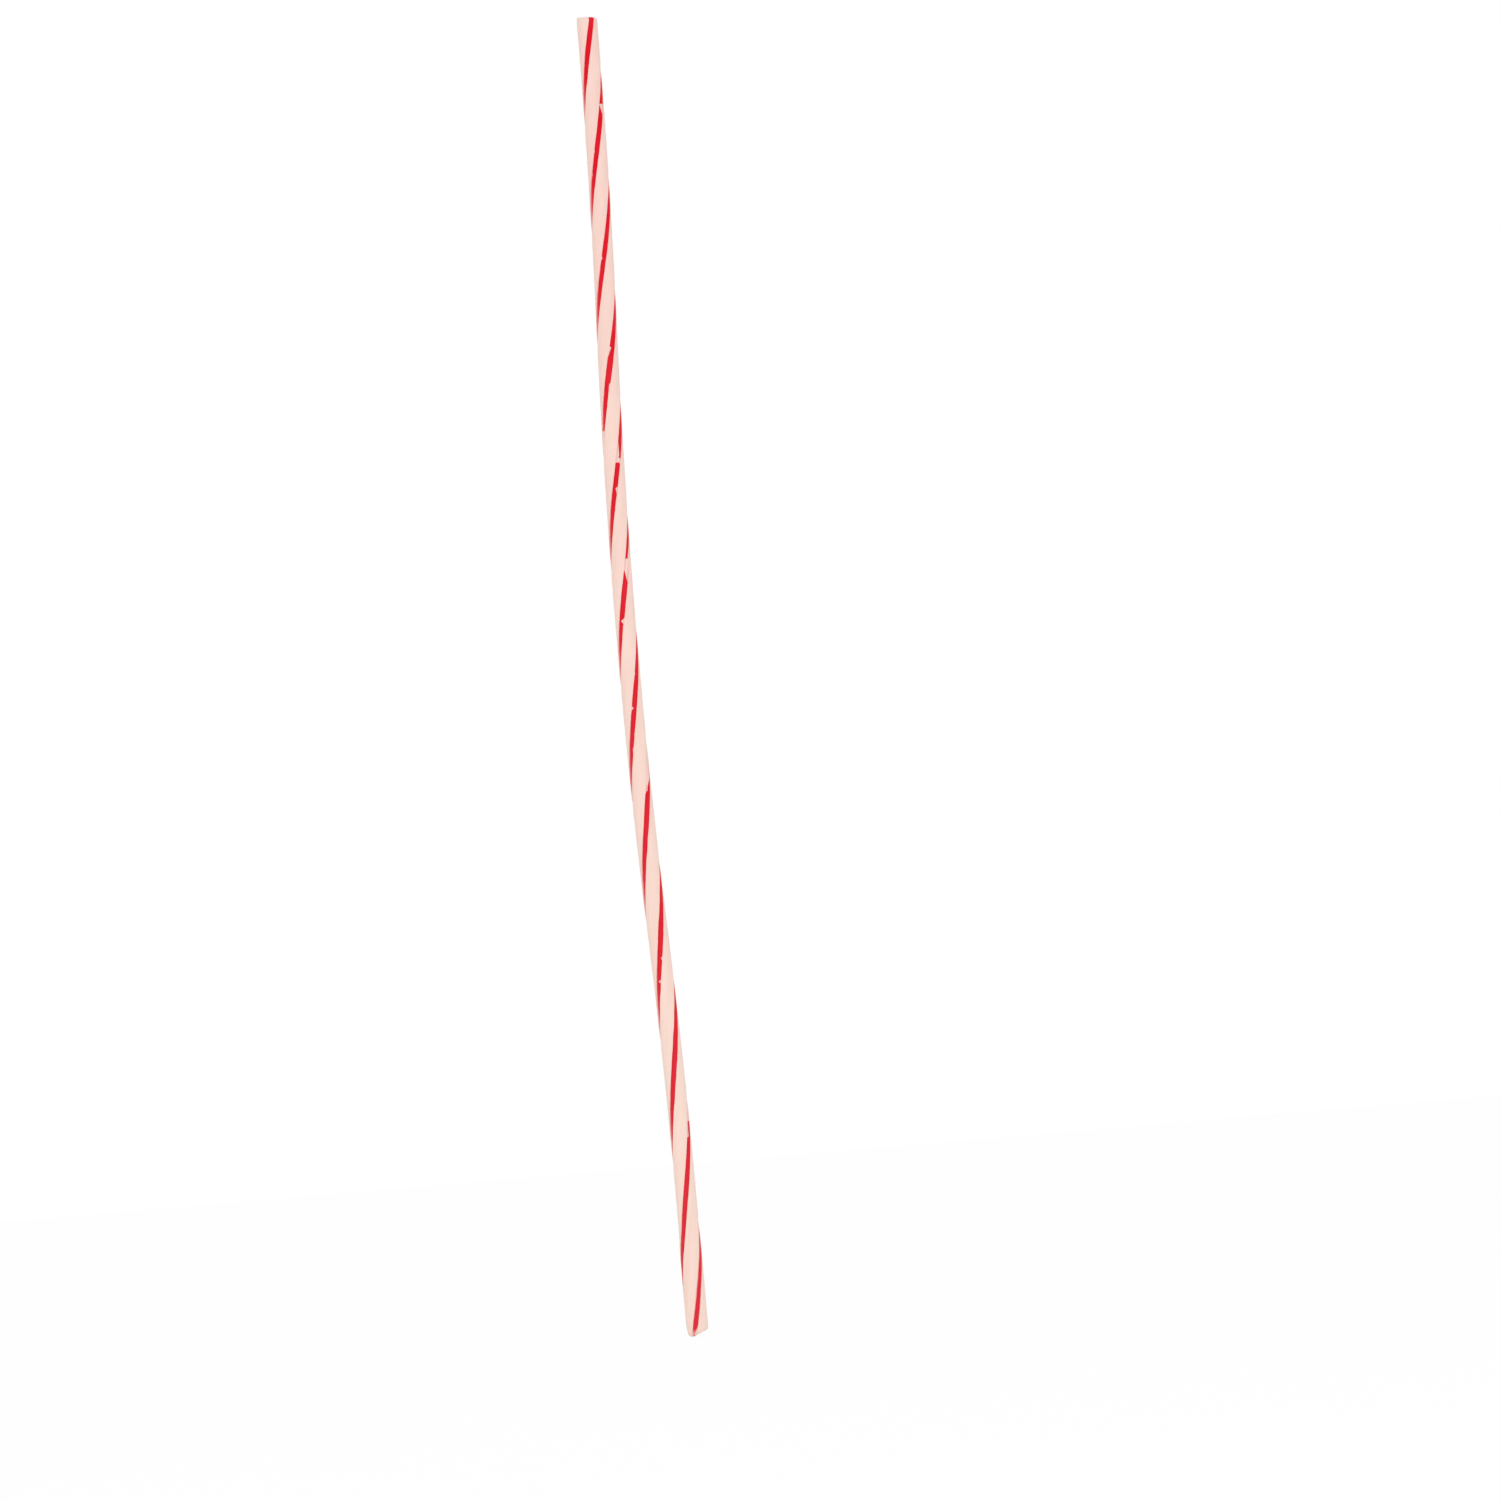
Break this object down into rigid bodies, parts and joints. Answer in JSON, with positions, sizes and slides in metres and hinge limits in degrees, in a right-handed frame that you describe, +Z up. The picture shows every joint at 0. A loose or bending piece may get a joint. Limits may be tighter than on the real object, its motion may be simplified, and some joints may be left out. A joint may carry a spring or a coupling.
{
  "type": "spiral birthday candle",
  "caption": "Slim round wax party candle with three red wax stripes spiralling up a pale, gently bowed rod, a cotton wick inside and plain cut ends.",
  "frame": {"origin": "on the candle's axis in the plane of the cut at its foot", "axes": "+Z up along the candle from foot to tip; +X across the candle, with the bow towards -X and the foot cut lowest there; the picture looks along +Y"},
  "size_m": [0.0046, 0.003, 0.1806],
  "materials": {
    "pale_wax": "satin pale pink candle wax",
    "stripe_wax": "satin strong red candle wax",
    "wick_cotton": "waxed natural cotton string"
  },
  "bodies": {
    "root": {"wax_body": "pale_wax", "stripe_1": "stripe_wax", "stripe_2": "stripe_wax", "stripe_3": "stripe_wax", "wick": "wick_cotton"}
  },
  "joints": []
}
